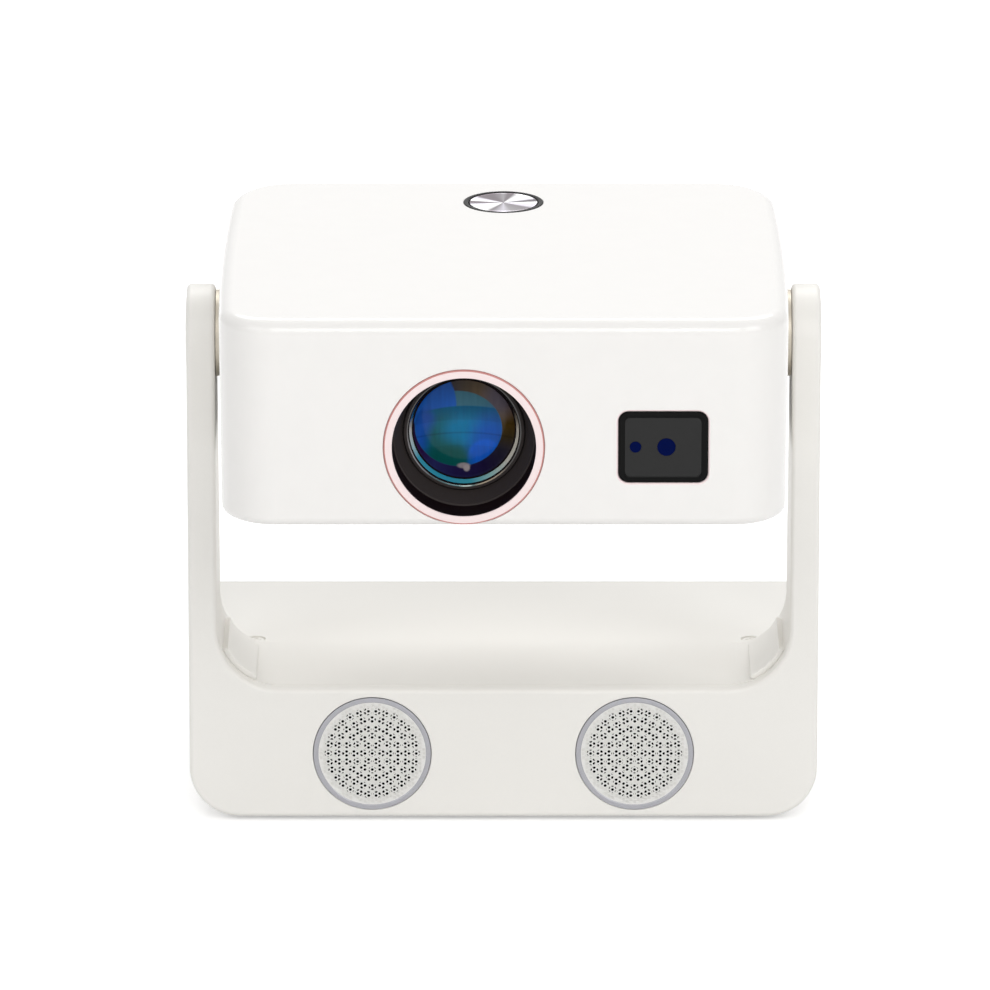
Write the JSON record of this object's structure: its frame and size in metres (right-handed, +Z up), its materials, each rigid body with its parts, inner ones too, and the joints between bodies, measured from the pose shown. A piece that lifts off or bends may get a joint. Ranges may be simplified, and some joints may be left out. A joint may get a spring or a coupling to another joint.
{
  "type": "home projector",
  "caption": "Rounded-box home projector with a recessed lens, tilting between the arms of a U-shaped speaker stand.",
  "frame": {"origin": "on the table, under the middle of the whole object's box, about 5 mm behind the tilt axis's vertical plane", "axes": "+X to the right seen from the front, across both arms; +Y to the rear, away from the lens; +Z up"},
  "size_m": [0.2128, 0.2022, 0.1996],
  "materials": {
    "stand_plastic": "satin warm-white moulded ABS",
    "body_gloss": "glossy warm-white painted moulding",
    "black_plastic": "fine matt moulding texture",
    "black_gloss": "glossy black moulding",
    "black_screw": "black zinc",
    "rubber": "matt",
    "cable_rubber": "matt",
    "screw_steel": "bright zinc",
    "steel_weight": "rolled, dull",
    "sheet_steel": "galvanised sheet",
    "brass": "machined",
    "circuit_board": "green solder mask",
    "grille_metal": "fine satin",
    "magnet": "plated ferrite",
    "speaker_cone": "pressed paper pulp, matt",
    "hub_metal": "turned and anodised",
    "rose_ring": "pale rose anodised look with a fine dark line",
    "lens_glass": "coated optical glass",
    "prism_glass": "polished",
    "motor_metal": "satin can",
    "engine_alloy": "black die casting",
    "copper": "bare copper",
    "heat_sink_metal": "skived, bare",
    "fan_plastic": "satin",
    "socket_metal": "nickel plated",
    "button_metal": "spun, with fine rings",
    "dark_glass": "smoked acrylic",
    "sensor_blue": "deep blue coated glass"
  },
  "bodies": {
    "stand": {"stand_shell": "stand_plastic", "stand_rear_cover": "stand_plastic", "base_plate": "black_plastic", "feet": "rubber", "base_screws": "screw_steel", "base_weight": "steel_weight", "tripod_insert": "brass", "amplifier_board": "circuit_board", "arm_bracket_left": "sheet_steel", "arm_bracket_right": "sheet_steel", "friction_washers": "screw_steel", "arm_cap_left": "stand_plastic", "arm_cap_right": "stand_plastic", "corner_cover_left": "stand_plastic", "corner_cover_right": "stand_plastic", "corner_screws": "screw_steel", "speaker_grille_left": "grille_metal", "speaker_grille_right": "grille_metal", "speaker_basket_left": "black_plastic", "speaker_basket_right": "black_plastic", "speaker_magnet_left": "magnet", "speaker_magnet_right": "magnet", "arm_cable": "cable_rubber"},
    "projector": {"outer_shell": "body_gloss", "rear_panel": "black_plastic", "case_screws": "black_screw", "chassis": "sheet_steel", "hinge_hub_left": "hub_metal", "hinge_hub_right": "hub_metal", "hinge_nuts": "screw_steel", "lens_trim_ring": "rose_ring", "lens_hood": "black_gloss", "lens_barrel": "black_plastic", "rear_lens": "lens_glass", "guide_rod": "screw_steel", "focus_motor": "motor_metal", "engine_housing": "engine_alloy", "prism": "prism_glass", "imager_board": "circuit_board", "led_board": "copper", "heat_sink": "heat_sink_metal", "heat_pipes": "copper", "fan_frame": "black_plastic", "main_board": "circuit_board", "power_socket": "black_plastic", "signal_sockets": "socket_metal", "button_ring": "black_gloss", "button_spring": "screw_steel", "switch_board": "circuit_board", "window_bezel": "black_gloss", "window_panel": "dark_glass", "camera_module": "sensor_blue", "distance_sensor": "sensor_blue"},
    "focus_carriage": {"focus_cell": "black_gloss", "front_lens": "lens_glass"},
    "lead_screw": {"lead_screw": "brass"},
    "fan": {"fan_rotor": "fan_plastic"},
    "power_button": {"button_cap": "button_metal"},
    "cone_left": {"speaker_cone_left": "speaker_cone"},
    "cone_right": {"speaker_cone_right": "speaker_cone"}
  },
  "joints": [
    {"name": "tilt", "type": "hinge", "parent": "stand", "child": "projector", "pos_m": [0, -0.00485, 0.1675], "axis": [-1, 0, 0], "range_deg": [-45, 90]},
    {"name": "power_press", "type": "slide", "parent": "projector", "child": "power_button", "axis": [0, 0, -1], "range_m": [0, 0.0008], "stiffness_N_per_m": 600, "springref_m": -0.0012, "deforming": ["button_spring"]},
    {"name": "focus_slide", "type": "slide", "parent": "projector", "child": "focus_carriage", "axis": [0, -1, 0], "range_m": [-0.0015, 0.0015]},
    {"name": "lead_screw_turn", "type": "hinge", "parent": "projector", "child": "lead_screw", "pos_m": [-0.008, -0.06485, 0.1843], "axis": [0, -1, 0], "range_deg": [-542, 542]},
    {"name": "fan_spin", "type": "hinge", "parent": "projector", "child": "fan", "pos_m": [-0.0484, 0.05015, 0.1631], "axis": [0, 1, 0], "continuous": true},
    {"name": "cone_left_move", "type": "slide", "parent": "stand", "child": "cone_left", "axis": [0, -1, 0], "range_m": [-0.001, 0.001], "stiffness_N_per_m": 1200},
    {"name": "cone_right_move", "type": "slide", "parent": "stand", "child": "cone_right", "axis": [0, -1, 0], "range_m": [-0.001, 0.001], "stiffness_N_per_m": 1200}
  ],
  "couplings": [
    {"joint": "lead_screw_turn", "follows": "focus_slide", "rad_per_m": 6283.2}
  ]
}
